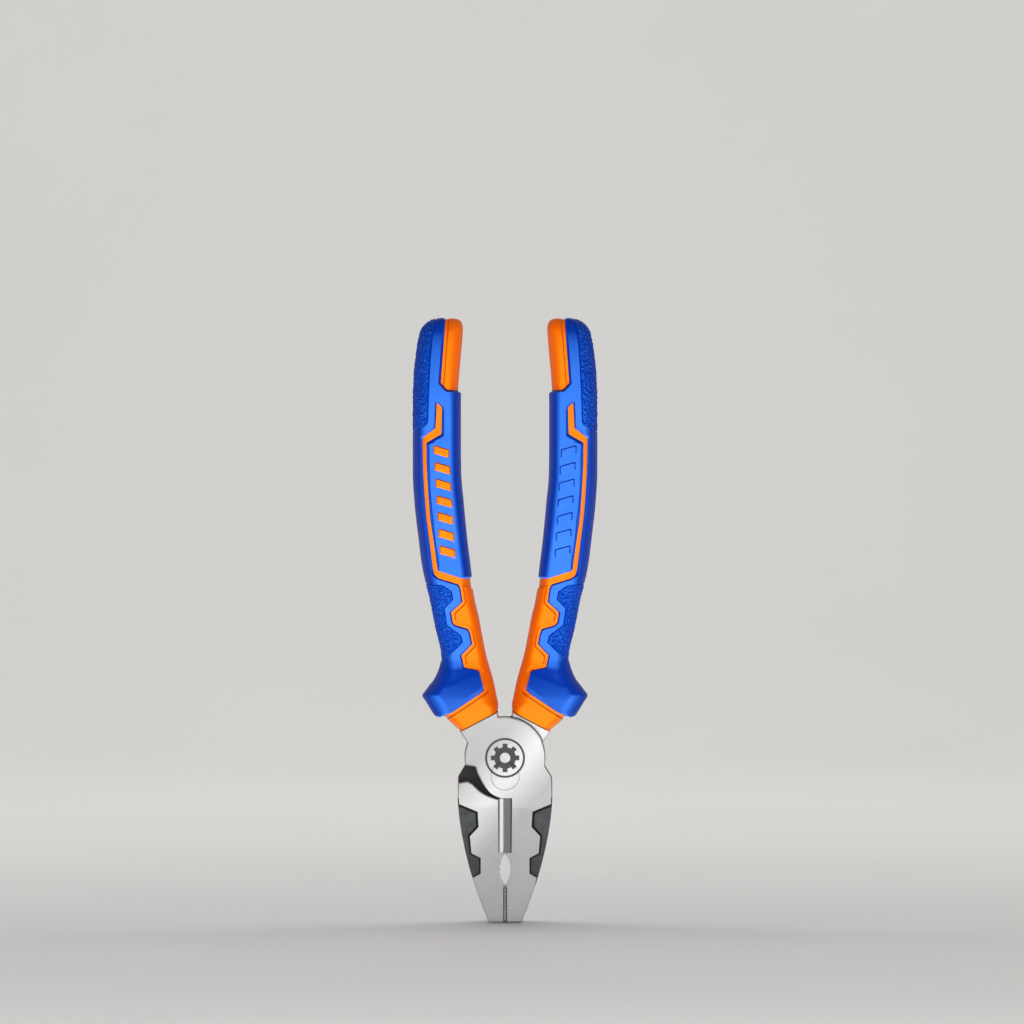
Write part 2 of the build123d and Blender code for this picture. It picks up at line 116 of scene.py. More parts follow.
# Heights and widths of the relief
BAND_SINK = 0.65                # the orange band lies this far under the smooth skin
FIELD_SINK = 0.15               # and the orange field inside the band this far
BAND_WIDTH = 0.95
STEP_WIDTH = 0.32
WALL_NARROW = 0.5               # widths of the blue walls down to the orange
WALL_GUARD = 1.3
WALL_PLATEAU = 0.9
PLATEAU_WALL_ENDS = (118.0, 169.5)              # it is that wide between these heights
GUARD_RISE = 1.15               # height of the guard over its foot
GUARD_LEAN = 0.1                # how fast it falls away above the foot
GUARD_FACE = 8.0                # and how far up it does
GUARD_RUN = 4.6                 # fall from its crest to the neck
GUARD_FALL = 1.5                # and how sharply that fall starts
END_SINK_TOP = 0.2
END_SINK_EXTRA = 0.85
END_SINK_BAND = 0.3
END_SINK_START = 196.0          # the end panel sinks further from this height down
END_SINK_RUN = 20.0
END_WALL = 0.8
GROOVE_DEPTH = 0.32
GROOVE_HALF = 0.24
BAR_RISE = 0.4
BAR_WALL = 0.35
FACING_GAIN = 1.8               # the relief fades out towards the edges of the silhouette
GRAIN_SIZE = 0.62
FINE_GRAIN_SIZE = 0.38
FINE_GRAIN_SHARE = 0.5
GRAIN_HEIGHT = 0.3
GRAIN_SINK = GRAIN_HEIGHT / 3
GRAIN_FADE = 0.4                # the grain dies out over this width along a pad's groove
SHELL_DEPTH = {"overmould": 2.0, "end_panel": 1.8, "thumb_pad": 1.5, "finger_pad": 1.5,
               "inlay": 0.7}

# Row of slanted bars on the long face
BAR_COUNT = 7
BAR_BOTTOM = 120.5
BAR_PITCH = 5.5
BAR_HALF_WIDTH = 2.6
BAR_HEIGHT = 2.8
BAR_SLANT = 1.5
BAR_ROW_START = 19.0
BAR_ROW_LEAN = 0.06

# Fineness of the skin's mesh
ROUND_STEPS = 112
ALONG_STEP = 0.56
SNAP = 0.22                     # a crease this near to a vertex, as a share of its edge, moves it
HALVINGS = 13                   # of an edge, to find a crease on it
ON_CREASE = 1e-4
SHARP_ANGLE = math.radians(24)
OUTLINE_STEPS = 4001            # round a typical section, to space the vertices evenly
TYPICAL_FLATS = (0.5, 0.4)


def smooth_through(knots, values):
    """A curve through rows of values that never overshoots between them."""
    step = np.diff(knots)[:, None]
    slope = np.diff(values, axis=0) / step
    before, after = slope[:-1], slope[1:]
    weight_a = 2 * step[1:] + step[:-1]
    weight_b = step[1:] + 2 * step[:-1]
    same_way = before * after > 0
    with np.errstate(divide="ignore", invalid="ignore"):
        middle = (weight_a + weight_b) / (weight_a / before + weight_b / after)
    tangent = np.vstack([slope[:1], np.where(same_way, middle, 0.0), slope[-1:]])

    def curve(place):
        row = np.clip(np.searchsorted(knots, place, side="right") - 1, 0, len(knots) - 2)
        width = step[row]
        t = ((place - knots[row])[:, None]) / width
        return (values[row] * (1 + 2 * t) * (1 - t) ** 2 + values[row + 1] * t * t * (3 - 2 * t)
                + width * tangent[row] * t * (1 - t) ** 2
                + width * tangent[row + 1] * t * t * (t - 1))
    return curve


inner_run = np.linalg.norm(np.diff(SECTIONS[:, 0:2], axis=0), axis=1)
outer_run = np.linalg.norm(np.diff(SECTIONS[:, 2:4], axis=0), axis=1)
section_places = np.concatenate([[0.0], np.cumsum((inner_run + outer_run) / 2)])
SKIN_LENGTH = section_places[-1]
section_at = smooth_through(section_places, SECTIONS)


def section_outline(angle, flat_in, flat_out):
    """A section's outline, from -1 to 1 across and deep: flat faces with elliptical sides."""
    cosine, sine = np.cos(angle), np.sin(angle)
    flat = np.where(cosine > 0, flat_in, flat_out)
    past_flat = np.clip(2 * np.abs(cosine) - 1, 0, 1) * np.pi / 2
    along_flat = np.minimum(2 * np.abs(cosine), 1)
    across = np.sign(cosine) * (flat * along_flat + (1 - flat) * np.sin(past_flat))
    return across, np.sign(sine) * np.cos(past_flat)


def even_angle_table():
    """Angles round a typical section that are evenly spaced along its outline."""
    angle = np.linspace(0, 2 * np.pi, OUTLINE_STEPS)
    across, deep = section_outline(angle, *TYPICAL_FLATS)
    run = np.concatenate([[0.0], np.cumsum(np.hypot(np.diff(across), np.diff(deep)))])
    return run / run[-1], angle


EVEN_SHARE, EVEN_ANGLE = even_angle_table()


def skin_points(places):
    """Points (out, depth, up) of the smooth skin at places (share round, distance along)."""
    section = section_at(np.clip(places[:, 1], 0, SKIN_LENGTH))
    angle = np.interp(places[:, 0] % 1.0, EVEN_SHARE, EVEN_ANGLE)
    across, deep = section_outline(angle, section[:, 5], section[:, 6])
    middle = (section[:, 0:2] + section[:, 2:4]) / 2
    edge = middle + (section[:, 0:2] - section[:, 2:4]) / 2 * across[:, None]
    return np.column_stack([edge[:, 0], -section[:, 4] / 2 * deep, edge[:, 1]])


def skin_normals(places):
    """Outward normals of the smooth skin."""
    round_step, along_step, end_cap = 4e-4, 0.02, 0.05
    whole_turn = np.array([[1.0, 0.0]])
    turn = round_step * whole_turn
    climb = np.array([[0.0, along_step]])
    low = np.maximum(places - climb, 0.0)
    around = skin_points(places + turn) - skin_points(places - turn + whole_turn)
    along = skin_points(places + climb) - skin_points(low)
    normal = np.cross(around, along)
    length = np.linalg.norm(normal, axis=1)
    normal = normal / np.maximum(length, 1e-12)[:, None]
    middle = section_at(np.clip(places[:, 1], 0, SKIN_LENGTH))
    centre = np.column_stack([(middle[:, 0] + middle[:, 2]) / 2, np.zeros(len(places)),
                              (middle[:, 1] + middle[:, 3]) / 2])
    outward = ((skin_points(places) - centre) * normal).sum(axis=1)
    normal[outward < -1e-6] *= -1
    normal[length < 1e-9] = (0.0, 0.0, 1.0)
    normal[places[:, 1] > SKIN_LENGTH - end_cap] = (0.0, 0.0, 1.0)
    return normal


# ---------------------------------------------------------------------------------------------
# Fields over the plan: signed distances, negative inside, in millimetres
# ---------------------------------------------------------------------------------------------

def outline_distance(plan, outline):
    """Signed distance from plan points to a closed outline."""
    corner = np.array(outline, float)
    following = np.roll(corner, -1, axis=0)
    side = following - corner
    reach = plan[:, None, :] - corner[None]
    share = np.clip((reach * side).sum(axis=2) / (side ** 2).sum(axis=1), 0, 1)
    distance = np.linalg.norm(reach - share[..., None] * side, axis=2).min(axis=1)
    spans = (corner[:, 1] > plan[:, None, 1]) != (following[:, 1] > plan[:, None, 1])
    rise = np.where(side[:, 1] == 0, 1.0, side[:, 1])
    crossing = corner[:, 0] + (plan[:, None, 1] - corner[:, 1]) * side[:, 0] / rise
    inside = (spans & (plan[:, None, 0] < crossing)).sum(axis=1) % 2 == 1
    return np.where(inside, -distance, distance)


def line_height(plan, line):
    """Signed distance from plan points to a line, positive above it."""
    start, end = np.array(line[0]), np.array(line[1])
    along = (end - start) / np.linalg.norm(end - start)
    upward = np.array([-along[1], along[0]])
    return (plan - start) @ upward


def orange_field(plan):
    return outline_distance(plan, ORANGE)


def orange_inner_field(plan):
    return np.maximum(orange_field(plan) + BAND_WIDTH, line_height(plan, PANEL_TOP))


def end_field(plan):
    return outline_distance(plan, END_PANEL)


def end_inner_field(plan):
    return -line_height(plan, END_STEP)


def thumb_field(plan):
    return outline_distance(plan, THUMB_PAD)


def finger_field(plan):
    return outline_distance(plan, FINGER_PAD)


def ridge_field(plan):
    return line_height(plan, GUARD_RIDGE)


def bar_field(plan):
    distance = np.full(len(plan), 1e3)
    for bar in range(BAR_COUNT):
        low = BAR_BOTTOM + bar * BAR_PITCH
        middle = BAR_ROW_START + BAR_ROW_LEAN * (low - BAR_BOTTOM)
        near, far = middle - BAR_HALF_WIDTH, middle + BAR_HALF_WIDTH
        outline = [(near, low), (far, low + BAR_SLANT), (far, low + BAR_SLANT + BAR_HEIGHT),
                   (near, low + BAR_HEIGHT)]
        distance = np.minimum(distance, outline_distance(plan, outline))
    return distance


# Lines that the skin's triangles are split along: where the relief bends
CREASES = [(orange_field, 0.0), (orange_field, WALL_NARROW), (orange_field, WALL_GUARD),
           (orange_inner_field, 0.0), (orange_inner_field, -STEP_WIDTH),
           (end_field, 0.0), (end_field, END_WALL),
           (end_inner_field, 0.0), (end_inner_field, -STEP_WIDTH),
           (thumb_field, 0.0), (thumb_field, -GROOVE_HALF), (thumb_field, -2 * GROOVE_HALF),
           (finger_field, 0.0), (finger_field, -GROOVE_HALF), (finger_field, -2 * GROOVE_HALF),
           (bar_field, 0.0), (bar_field, -BAR_WALL), (ridge_field, 0.0)]


def relief(plan, facing=1.0):
    """Height of the sculpted surface over the smooth skin, given how far it faces out in Y."""
    orange = orange_field(plan)
    up = plan[:, 1]
    climb = np.clip(ridge_field(plan) / GUARD_RUN, 0, 1)
    over_foot = line_height(plan, GUARD_FOOT)
    guard = GUARD_RISE - GUARD_LEAN * np.clip(over_foot, 0, GUARD_FACE)
    guard = guard * (1 - climb) ** GUARD_FALL * facing
    foot = np.clip(over_foot / WALL_GUARD, 0, 1)
    plateau_depth = -outline_distance(plan, PLATEAU)
    wall_start, wall_end = PLATEAU_WALL_ENDS
    past_ends = np.clip(up - wall_end, 0, None) + np.clip(wall_start - up, 0, None)
    wide = np.clip(plateau_depth / WALL_PLATEAU + past_ends, 0, 1)
    wide = np.where(plateau_depth > 0, wide, 1.0)
    rise = np.minimum(np.clip(orange / WALL_NARROW, 0, 1), np.minimum(wide, foot))
    blue = -BAND_SINK + (guard + BAND_SINK) * rise
    step = np.clip(-orange_inner_field(plan) / STEP_WIDTH, 0, 1)
    band = -BAND_SINK + (BAND_SINK - FIELD_SINK) * step
    height = np.where(orange > 0, blue, band)
    height += BAR_RISE * np.clip(-bar_field(plan) / BAR_WALL, 0, 1)
    for pad in (thumb_field, finger_field):
        height -= GROOVE_DEPTH * np.clip(1 - np.abs(pad(plan) / GROOVE_HALF + 1), 0, 1)
    end_sink = END_SINK_TOP + END_SINK_EXTRA * np.clip((END_SINK_START - up) / END_SINK_RUN, 0, 1)
    end_step = np.clip(-end_inner_field(plan) / STEP_WIDTH, 0, 1)
    end_bottom = end_sink + END_SINK_BAND
    end = end_field(plan)
    panel = -end_bottom + END_SINK_BAND * end_step
    slope = np.minimum(height, -end_bottom * (1 - end / END_WALL))
    return np.where(end < 0, panel, np.where(end < END_WALL, slope, height))


def wall_shade_share(plan):
    """How much painted shade the relief gets, from 0 to 1: darker on its sharp slopes, except
    those that face down.
    """
    step, wall_slope = 0.03, 0.5
    down_limit, down_fall = 1.6, 2
    here = relief(plan)
    out_rise = (relief(plan + np.array([step, 0])) - here) / step
    up_rise = (relief(plan + np.array([0, step])) - here) / step
    slope = np.hypot(out_rise, up_rise)
    down = np.clip(up_rise, 0, None) / np.maximum(slope, 1e-6)
    return np.clip(slope / wall_slope - 1, 0, 1) * np.clip(down_limit - down_fall * down, 0, 1)


# ---------------------------------------------------------------------------------------------
# The skin's mesh
# ---------------------------------------------------------------------------------------------

class Skin:
    """Triangles over places on the skin, split along the creases of the relief."""

    def __init__(self):
        rows = int(SKIN_LENGTH / ALONG_STEP)
        share = np.linspace(0, 1, ROUND_STEPS + 1)
        along = np.linspace(0, SKIN_LENGTH, rows + 1)
        grid_share, grid_along = np.meshgrid(share, along)
        self.places = np.column_stack([grid_share.ravel(), grid_along.ravel()])
        width = ROUND_STEPS + 1
        row, column = np.meshgrid(np.arange(rows), np.arange(ROUND_STEPS), indexing="ij")
        a = (row * width + column).ravel()
        b, c, d = a + 1, a + width + 1, a + width
        odd = ((row + column) % 2 == 1).ravel()
        first = np.where(odd[:, None], np.column_stack([a, b, d]), np.column_stack([a, b, c]))
        second = np.where(odd[:, None], np.column_stack([b, c, d]), np.column_stack([a, c, d]))
        self.triangles = np.concatenate([first, second])
        on_seam = (self.places[:, 0] == 0) | (self.places[:, 0] == 1)
        on_end = (self.places[:, 1] == 0) | (self.places[:, 1] >= SKIN_LENGTH)
        self.fixed = on_seam | on_end

    def plan(self, places):
        return skin_points(places)[:, [0, 2]]

    def edges(self):
        pairs = np.sort(self.triangles[:, [0, 1, 1, 2, 2, 0]].reshape(-1, 2), axis=1)
        return np.unique(pairs, axis=0)

    def roots(self, first, second, value, field, level):
        """Places on edges, and their shares, where the field has the level."""
        low, high = np.zeros(len(first)), np.ones(len(first))
        start, end = self.places[first], self.places[second]
        for _ in range(HALVINGS):
            middle = (low + high) / 2
            here = field(self.plan(start + (end - start) * middle[:, None])) - level
            same = here * value[first] > 0
            low, high = np.where(same, middle, low), np.where(same, high, middle)
        share = (low + high) / 2
        return start + (end - start) * share[:, None], share

    def cut(self, field, level):
        """Splits the triangles along the line where the field has the level."""
        value = field(self.plan(self.places)) - level
        value[np.abs(value) < ON_CREASE] = 0.0
        first, second = self.edges().T
        crossing = value[first] * value[second] < 0
        first, second = first[crossing], second[crossing]
        spots, share = self.roots(first, second, value, field, level)
        for near, vertex in ((share < SNAP, first), (share > 1 - SNAP, second)):
            moving = near & ~self.fixed[vertex]
            self.places[vertex[moving]] = spots[moving]
            value[vertex[moving]] = 0.0
            self.fixed[vertex[moving]] = True
        self.fixed |= value == 0.0
        crossing = value[first] * value[second] < 0
        first, second = first[crossing], second[crossing]
        spots, share = self.roots(first, second, value, field, level)
        cut_edges = zip(first.tolist(), second.tolist())
        middles = {edge: number for number, edge in enumerate(cut_edges, len(self.places))}
        self.places = np.concatenate([self.places, spots])
        self.fixed = np.concatenate([self.fixed, np.ones(len(spots), bool)])
        signs = np.sign(value)[self.triangles]
        split = (signs.min(axis=1) < 0) & (signs.max(axis=1) > 0)
        made = []
        for corners, sign in zip(self.triangles[split].tolist(), signs[split].tolist()):
            made.extend(split_triangle(corners, sign, middles))
        self.triangles = np.concatenate([self.triangles[~split], np.array(made).reshape(-1, 3)])

    def close_seam(self):
        """Joins the two sides of the seam, and all of the last row, into one vertex each."""
        left = np.flatnonzero(self.places[:, 0] == 0)
        right = np.flatnonzero(self.places[:, 0] == 1)
        left = left[np.argsort(self.places[left, 1])]
        right = right[np.argsort(self.places[right, 1])]
        stands_for = np.arange(len(self.places))
        stands_for[right] = left
        last = self.places[:, 1] >= SKIN_LENGTH
        stands_for[last] = left[-1]
        self.triangles = stands_for[self.triangles]
        a, b, c = self.triangles.T
        self.triangles = self.triangles[(a != b) & (b != c) & (c != a)]


def split_triangle(corners, sign, middles):
    """Pieces of a triangle that a line crosses, given the sign at each corner."""
    def middle(i, j):
        return middles[(min(corners[i], corners[j]), max(corners[i], corners[j]))]
    if 0 in sign:
        i = sign.index(0)
        j, k = (i + 1) % 3, (i + 2) % 3
        point = middle(j, k)
        return [(corners[i], corners[j], point), (corners[i], point, corners[k])]
    i = next(n for n in range(3) if sign[n] * sign[(n + 1) % 3] < 0 and sign[n] * sign[n - 1] < 0)
    j, k = (i + 1) % 3, (i + 2) % 3
    near, far = middle(i, j), middle(i, k)
    return [(corners[i], near, far), (near, corners[j], corners[k]), (near, corners[k], far)]


def finer(places, triangles):
    """The same patch with each triangle in four."""
    pairs = np.sort(triangles[:, [0, 1, 1, 2, 2, 0]].reshape(-1, 2), axis=1)
    unique, index = np.unique(pairs, axis=0, return_inverse=True)
    middle = len(places) + index.reshape(-1, 3)
    places = np.concatenate([places, places[unique].mean(axis=1)])
    a, b, c = triangles.T
    ab, bc, ca = middle.T
    triangles = np.concatenate([np.column_stack(t) for t in
                                ((a, ab, ca), (ab, b, bc), (ca, bc, c), (ab, bc, ca))])
    return places, triangles


def border(triangles):
    """Directed edges of a patch that no other triangle of the patch shares."""
    edges = triangles[:, [0, 1, 1, 2, 2, 0]].reshape(-1, 2)
    present = set(map(tuple, edges.tolist()))
    return np.array([(a, b) for a, b in present if (b, a) not in present]).reshape(-1, 2)


def walls(edges, shift):
    """Triangles that join each border edge to its copy shift vertices later."""
    a, b = edges.T
    return np.concatenate([np.column_stack([b, a, a + shift]),
                           np.column_stack([b, a + shift, b + shift])])


def compact(points, triangles):
    """Only the points that the triangles use."""
    used, index = np.unique(triangles, return_inverse=True)
    return points[used], index.reshape(-1, 3)


def facing(normal):
    """How far the skin faces out in Y, from 0 at the edges of the silhouette to 1."""
    return np.clip(FACING_GAIN * np.abs(normal[:, 1]), 0, 1)


def shell(places, triangles, heights, depth):
    """A closed shell over a patch, from its relief down to an even depth under the skin.

    Each row of its points is the point itself and then the smooth skin's point under it.
    """
    base, normal = skin_points(places), skin_normals(places)
    top = base + normal * heights[:, None]
    bottom = base - normal * depth
    count = len(places)
    faces = np.concatenate([triangles, triangles[:, ::-1] + count,
                            walls(border(triangles), count)])
    points = np.column_stack([np.concatenate([top, bottom]), np.concatenate([base, base])])
    return compact(points, faces)


def grip_regions(skin):
    """The name of the piece that each triangle of the skin belongs to."""
    corners = skin_points(skin.places)[skin.triangles]
    centre = corners.mean(axis=1)
    plan = centre[:, [0, 2]]
    names = np.full(len(centre), "body", dtype=object)
    names[orange_field(plan) < 0] = "overmould"
    names[end_field(plan) < 0] = "end_panel"
    names[thumb_field(plan) < 0] = "thumb_pad"
    names[finger_field(plan) < 0] = "finger_pad"
    names[(bar_field(plan) < 0) & (centre[:, 1] < 0)] = "inlay"
    return names


def grain(points):
    """Height of the pads' fine random grain."""
    values = []
    for point in map(Vector, points.tolist()):
        fine = noise.noise(point / FINE_GRAIN_SIZE)
        values.append(noise.noise(point / GRAIN_SIZE) + FINE_GRAIN_SHARE * fine)
    return GRAIN_HEIGHT * np.array(values)


def body_solid(skin, names):
    """The blue body: its relief, and a pocket under each of the other pieces.

    The rows of its points are like the shell's.
    """
    base, normal = skin_points(skin.places), skin_normals(skin.places)
    heights = relief(base[:, [0, 2]], facing(normal))
    count = len(base)
    blue = skin.triangles[names == "body"]
    layers, faces = [base + normal * heights[:, None]], [blue]
    for piece, depth in SHELL_DEPTH.items():
        patch = skin.triangles[names == piece]
        shift = count * len(layers)
        layers.append(base - normal * depth)
        faces.append(patch + shift)
        edges = border(patch)
        on_collar = (skin.places[edges[:, 0], 1] == 0) & (skin.places[edges[:, 1], 1] == 0)
        faces.append(walls(edges[~on_collar][:, ::-1], shift))
    points = np.column_stack([np.concatenate(layers), np.tile(base, (len(layers), 1))])
    faces = np.concatenate(faces)
    rim = border(faces)
    points = np.concatenate([points, points[rim[:, 0]].mean(axis=0)[None]])
    cap = np.column_stack([rim[:, 1], rim[:, 0], np.full(len(rim), len(points) - 1)])
    return compact(points, np.concatenate([faces, cap]))


def add_mesh(name, points, triangles, painted_shade_share, turned):
    """A Blender object from points (out, depth, up) in millimetres of the left grip."""
    sides = np.array([1, -1, 1]) if turned else np.array([-1, 1, 1])
    placed = points[:, :3] * sides * MM
    corners = placed[triangles]
    volume = np.einsum("ij,ij->i", corners[:, 0], np.cross(corners[:, 1], corners[:, 2])).sum()
    if volume < 0:
        triangles = triangles[:, ::-1]
    mesh = bpy.data.meshes.new(name)
    mesh.from_pydata(placed.tolist(), [], triangles.tolist())
    mesh.validate()
    # per-face share of painted shade, read by the rubber materials
    shade = mesh.attributes.new("painted_wall_shade", "FLOAT", "FACE")
    shade.data.foreach_set("value", painted_shade_share)
    mesh.shade_smooth()
    mesh.set_sharp_from_angle(angle=SHARP_ANGLE)
    piece = bpy.data.objects.new(name, mesh)
    bpy.context.scene.collection.objects.link(piece)
    return piece


# ---------------------------------------------------------------------------------------------
# Materials
# ---------------------------------------------------------------------------------------------

class Shader:
    """Short names for the nodes of one material."""

    def __init__(self, name):
        self.material = bpy.data.materials.new(name)
        self.material.use_nodes = True
        self.tree = self.material.node_tree
        self.surface = self.tree.nodes["Principled BSDF"]
        place = self.node("ShaderNodeTexCoord")
        self.where, self.facing = place.outputs["Object"], place.outputs["Normal"]

    def node(self, kind, **settings):
        made = self.tree.nodes.new(kind)
        for key, value in settings.items():
            setattr(made, key, value)
        return made

    def feed(self, socket, value):
        if isinstance(value, bpy.types.NodeSocket):
            self.tree.links.new(value, socket)
        else:
            socket.default_value = value

    def math(self, operation, first, second=0.0, third=0.0):
        made = self.node("ShaderNodeMath", operation=operation)
        for socket, value in zip(made.inputs, (first, second, third)):
            self.feed(socket, value)
        return made.outputs[0]

    def split(self, vector):
        made = self.node("ShaderNodeSeparateXYZ")
        self.feed(made.inputs[0], vector)
        return made.outputs

    def noise(self, scale, detail=2.0, roughness=0.5, stretch=None):
        made = self.node("ShaderNodeTexNoise")
        made.inputs["Scale"].default_value = scale
        made.inputs["Detail"].default_value = detail
        made.inputs["Roughness"].default_value = roughness
        place = self.where
        if stretch:
            mapping = self.node("ShaderNodeMapping")
            mapping.inputs["Scale"].default_value = stretch
            self.feed(mapping.inputs["Vector"], self.where)
            place = mapping.outputs[0]
        self.feed(made.inputs["Vector"], place)
        return made.outputs[0]

    def spread(self, value, low, high, to_low=0.0, to_high=1.0):
        made = self.node("ShaderNodeMapRange")
        for socket, number in zip(made.inputs[:5], (value, low, high, to_low, to_high)):
            self.feed(socket, number)
        return made.outputs[0]

    def mix(self, share, first, second):
        made = self.node("ShaderNodeMix", data_type="RGBA")
        self.feed(made.inputs[0], share)
        for socket, colour in ((made.inputs[6], first), (made.inputs[7], second)):
            self.feed(socket, colour)
        return made.outputs[2]

    def bump(self, height, strength, distance, below=None):
        made = self.node("ShaderNodeBump")
        made.inputs["Strength"].default_value = strength
        made.inputs["Distance"].default_value = distance
        self.feed(made.inputs["Height"], height)
        if below is not None:
            self.feed(made.inputs["Normal"], below)
        return made.outputs[0]

    def set(self, **values):
        for name, value in values.items():
            self.feed(self.surface.inputs[name.replace("_", " ")], value)
        return self.material


def srgb(red, green, blue):
    """A colour given as 0 to 255 screen values."""
    def linear(level):
        share = level / 255
        return share / 12.92 if share <= 0.04045 else ((share + 0.055) / 1.055) ** 2.4
    return (linear(red), linear(green), linear(blue), 1.0)


# Painted shade on the rubber, by parts of its normal: sides and faces turned up the handle are
# painted darker, as if lit from the front and below; the colour is plain before and dark past
SIDE_LEAN = (0.2, 0.75)         # out from the handle's front and back
UP_LEAN = (0.03, 0.2)           # up the handle
DOWN_LEAN = (-0.72, -0.6)       # faces leaning down more than this stay plain
# how far the painted wall shade darkens the rubber at most
WALL_SHADE_STRENGTH = 0.85


def moulded_rubber(name, light, dark, grain_strength, painted_wall_shade=None, side=None):
    """Satin thermoplastic rubber with a fine moulded grain, and painted shade round its sides, on
    faces turned up the handle, on its walls and in its grain hollows.
    """
    shader = Shader(name)
    broad = shader.noise(90.0, 3.0)
    fine = shader.noise(3200.0, 2.0)
    tone = shader.spread(broad, 0.35, 0.65)
    colour = shader.mix(tone, dark, light)
    if side:
        # painted shade: sides and up-facing faces take the side colour; faces leaning down stay
        # plain
        out, _, up = shader.split(shader.facing)
        flat_across = shader.spread(shader.math("ABSOLUTE", out), *SIDE_LEAN, 1.0, 0.0)
        faces_down = shader.spread(up, *DOWN_LEAN, 1.0, 0.0)
        flat_across = shader.math("MAXIMUM", flat_across, faces_down)
        flat_along = shader.spread(up, *UP_LEAN, 1.0, 0.0)
        colour = shader.mix(shader.math("MULTIPLY", flat_across, flat_along), side, colour)
    # painted shade from the mesh's per-face share: on walls that don't face down, and in the pads'
    # grain hollows
    if painted_wall_shade:
        painted_shade_share = shader.node("ShaderNodeAttribute", attribute_name="painted_wall_shade").outputs["Fac"]
        colour = shader.mix(shader.math("MULTIPLY", painted_shade_share, WALL_SHADE_STRENGTH), colour, painted_wall_shade)
    rough = shader.spread(shader.noise(500.0, 3.0), 0.3, 0.7, 0.38, 0.5)
    normal = shader.bump(fine, grain_strength, 0.00006)
    shader.surface.inputs["Specular IOR Level"].default_value = 0.12
    return shader.set(Base_Color=colour, Roughness=rough, Normal=normal)


# each rubber: plain light and dark tones, then its painted wall shade colour and its painted side
# shade colour
blue_rubber = moulded_rubber("blue_rubber", srgb(56, 124, 240), srgb(50, 117, 232), 0.25,
                             srgb(0, 48, 160), srgb(0, 52, 162))
orange_rubber = moulded_rubber("orange_rubber", srgb(255, 134, 8), srgb(254, 128, 4), 0.25,
                               srgb(196, 76, 0), srgb(240, 102, 0))
textured_rubber = moulded_rubber("textured_rubber", srgb(24, 100, 212), srgb(8, 88, 196), 0.7,
                                 srgb(0, 54, 166), srgb(0, 60, 172))


# Mark etched on the joint disc: radii in metres
MARK_UP = 0.0545
RING_RADII = (0.0059, 0.0066)
COG_TEETH = 8
COG_HOLE = 0.0017
COG_RADII = (0.0036, 0.0047)
MARK_FRONT = -0.0056            # the mark is only on faces in front of this depth

# Painted highlight across the polished faces: a slanting line and its half widths, in metres
HIGHLIGHT_UP = 0.0467
HIGHLIGHT_NORMAL = (-0.74, 0.67)
HIGHLIGHT_WIDTHS = (0.001, 0.011)


def ground_steel(name):
    """Ground and polished forged steel, with a painted highlight in a slanting band, and a mark
    etched on the front of the joint disc.
    """
    shader = Shader(name)
    x, y, z = shader.split(shader.where)
    up = shader.math("SUBTRACT", z, MARK_UP)
    radius = shader.math("SQRT", shader.math("ADD", shader.math("MULTIPLY", x, x),
                                             shader.math("MULTIPLY", up, up)))
    angle = shader.math("ARCTAN2", up, x)
    tooth = shader.math("COSINE", shader.math("MULTIPLY", angle, COG_TEETH))
    rim = shader.spread(tooth, -0.15, 0.15, *COG_RADII)
    cog = shader.math("MULTIPLY", shader.math("LESS_THAN", radius, rim),
                      shader.math("GREATER_THAN", radius, COG_HOLE))
    ring = shader.math("MULTIPLY", shader.math("LESS_THAN", radius, RING_RADII[1]),
                       shader.math("GREATER_THAN", radius, RING_RADII[0]))
    front = shader.math("LESS_THAN", y, MARK_FRONT)
    mark = shader.math("MULTIPLY", shader.math("MAXIMUM", cog, ring), front)
    clouds = shader.spread(shader.noise(70.0, 4.0), 0.3, 0.7)
    bright = shader.mix(clouds, (0.61, 0.61, 0.62, 1), (0.67, 0.67, 0.67, 1))
    # painted highlight: a bright band along a slanting line, fading out over its half widths
    across, along = HIGHLIGHT_NORMAL
    over_highlight = shader.math("MULTIPLY", shader.math("SUBTRACT", z, HIGHLIGHT_UP), along)
    off_highlight = shader.math("ADD", shader.math("MULTIPLY", x, across), over_highlight)
    painted_highlight = shader.spread(shader.math("ABSOLUTE", off_highlight), *HIGHLIGHT_WIDTHS, 1.0, 0.0)
    bright = shader.mix(painted_highlight, bright, (0.98, 0.98, 0.98, 1))
    colour = shader.mix(mark, bright, (0.19, 0.195, 0.2, 1))
    brushed = shader.noise(900.0, 2.0, stretch=(1.0, 1.0, 14.0))
    rough = shader.math("ADD", shader.spread(brushed, 0.3, 0.7, 0.27, 0.36),
                        shader.math("MULTIPLY", mark, 0.25))
    normal = shader.bump(brushed, 0.012, 0.00003)
    normal = shader.bump(mark, -0.5, 0.00005, below=normal)
    shader.surface.inputs["Metallic"].default_value = 1.0
    return shader.set(Base_Color=colour, Roughness=rough, Normal=normal)


def blackened_finish(name, dark, light):
    """Dark satin finish of the recesses, and, in a darker copy, painted shade on the recess walls
    and the hidden lap and seat faces.
    """
    shader = Shader(name)
    colour = shader.mix(shader.spread(shader.noise(400.0, 4.0), 0.3, 0.7), dark, light)
    normal = shader.bump(shader.noise(2500.0, 3.0), 0.35, 0.00008)
    shader.surface.inputs["Roughness"].default_value = 0.45
    return shader.set(Base_Color=colour, Normal=normal)


# Painted light along the cutting edges: strips from and to (X, in millimetres), and how bright;
# the left bevel is painted lit and the right one in shade, with painted dark lines at the parting
# line and the outer edges
PAINTED_LIGHT_STRIPS = ((-3.0, -1.85, 0.1), (-1.75, -0.6, 1.0), (-0.15, 0.2, 0.02), (0.2, 1.8, 0.25),
                (1.8, 3.0, 0.04))


